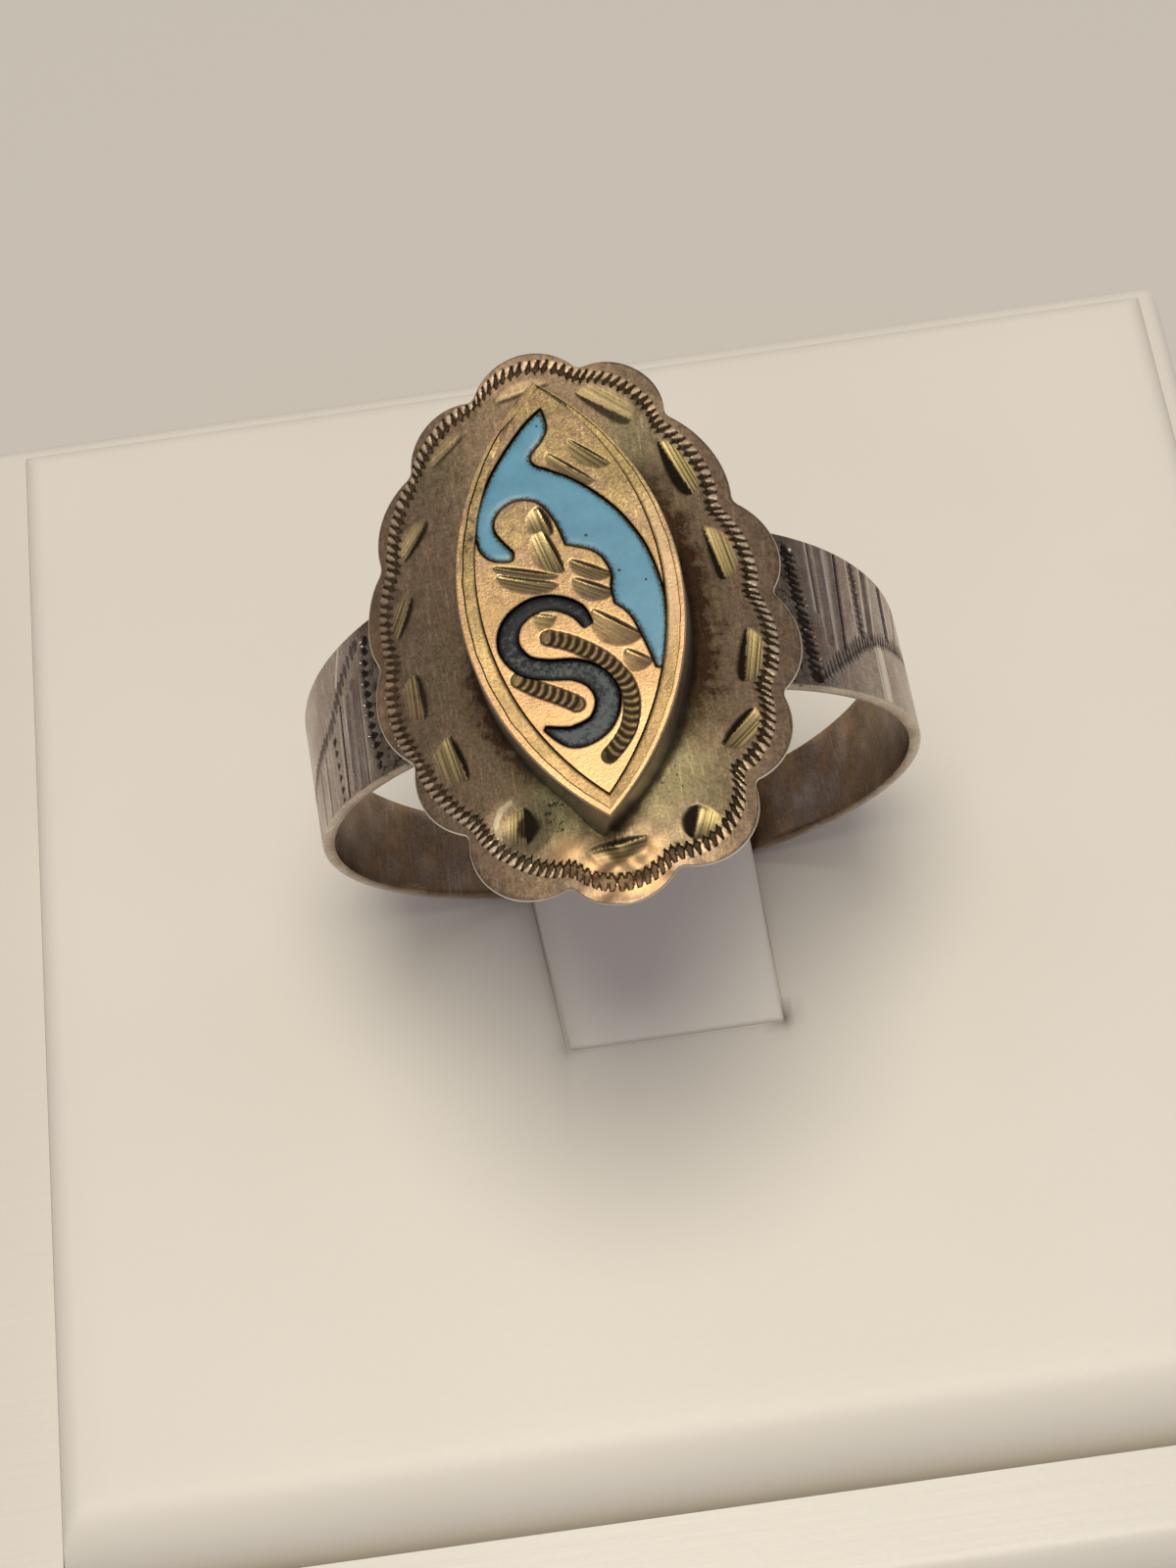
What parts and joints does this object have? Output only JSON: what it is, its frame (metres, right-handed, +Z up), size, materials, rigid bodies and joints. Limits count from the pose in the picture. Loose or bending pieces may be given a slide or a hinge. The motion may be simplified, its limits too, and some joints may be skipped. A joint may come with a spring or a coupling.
{
  "type": "enamel ring on display pad",
  "caption": "Gilt finger ring with a scalloped plate, a pointed enamelled plaque and a flat band, held upright by the tongue of a square white display pad in its tray.",
  "frame": {"origin": "centre of the tray's underside, on the surface that it stands on", "axes": "+Z up, +Y to the back of the pad and nearly along the finger, +X to the right as the plaque is viewed from the front"},
  "size_m": [0.0478, 0.048, 0.0357],
  "materials": {
    "gilt_silver": "worn gilt silver, satin, dark in the engraving",
    "blue_enamel": "satin opaque enamel",
    "grey_enamel": "mottled dark grey enamel",
    "white_pad": "satin",
    "white_tray": "satin, finely ribbed"
  },
  "bodies": {
    "root": {"ring_metal": "gilt_silver", "blue_enamel": "blue_enamel", "grey_enamel": "grey_enamel", "display_insert": "white_pad", "display_tray": "white_tray"}
  },
  "joints": []
}
